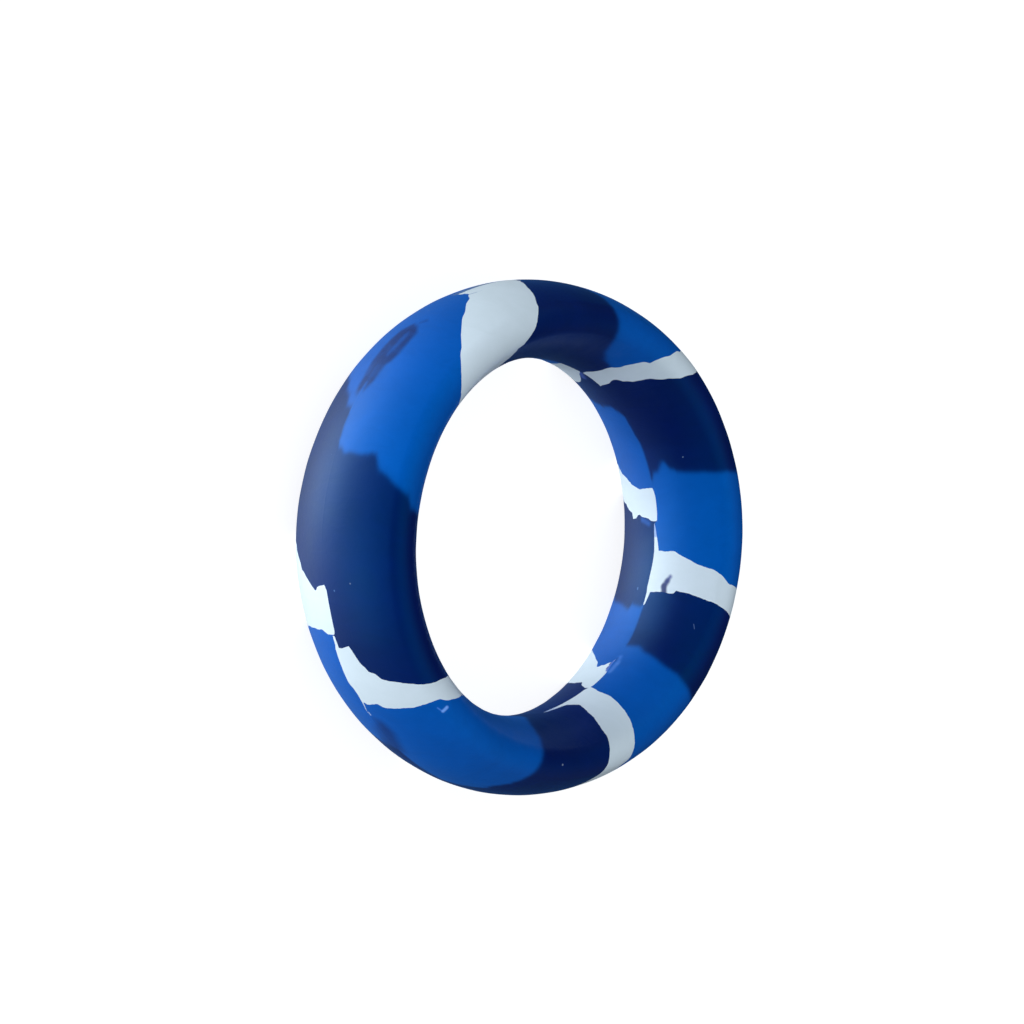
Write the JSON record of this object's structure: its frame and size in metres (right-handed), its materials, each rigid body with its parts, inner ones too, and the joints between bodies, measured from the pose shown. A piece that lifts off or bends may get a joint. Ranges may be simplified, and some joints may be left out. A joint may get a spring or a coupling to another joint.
{
  "type": "moulded silicone ring",
  "caption": "Chunky hand-sized silicone ring with a lens-shaped section, pressed in a two-part mould from white, navy and blue slugs that cure into one marbled ring.",
  "frame": {"origin": "on the ring's axis, in the plane that the ring rests on when it lies flat", "axes": "+Z along the ring's axis, upwards from the surface it lies on; +X and +Y across the ring, which has no other natural direction"},
  "size_m": [0.1, 0.1, 0.0309],
  "materials": {
    "white_silicone": "satin",
    "navy_silicone": "satin",
    "blue_silicone": "satin"
  },
  "bodies": {
    "root": {"upper_blue_1": "blue_silicone", "upper_navy_1": "navy_silicone", "upper_white_1": "white_silicone", "upper_blue_2": "blue_silicone", "upper_navy_2": "navy_silicone", "upper_white_2": "white_silicone", "upper_blue_3": "blue_silicone", "upper_navy_3": "navy_silicone", "upper_white_3": "white_silicone", "upper_blue_4": "blue_silicone", "upper_navy_4": "navy_silicone", "upper_white_4": "white_silicone", "upper_blue_5": "blue_silicone", "upper_navy_5": "navy_silicone", "upper_white_5": "white_silicone", "lower_blue_1": "blue_silicone", "lower_navy_1": "navy_silicone", "lower_white_1": "white_silicone", "lower_blue_2": "blue_silicone", "lower_navy_2": "navy_silicone", "lower_white_2": "white_silicone", "lower_blue_3": "blue_silicone", "lower_navy_3": "navy_silicone", "lower_white_3": "white_silicone", "lower_blue_4": "blue_silicone", "lower_navy_4": "navy_silicone", "lower_white_4": "white_silicone", "lower_blue_5": "blue_silicone", "lower_navy_5": "navy_silicone", "lower_white_5": "white_silicone"}
  },
  "joints": []
}
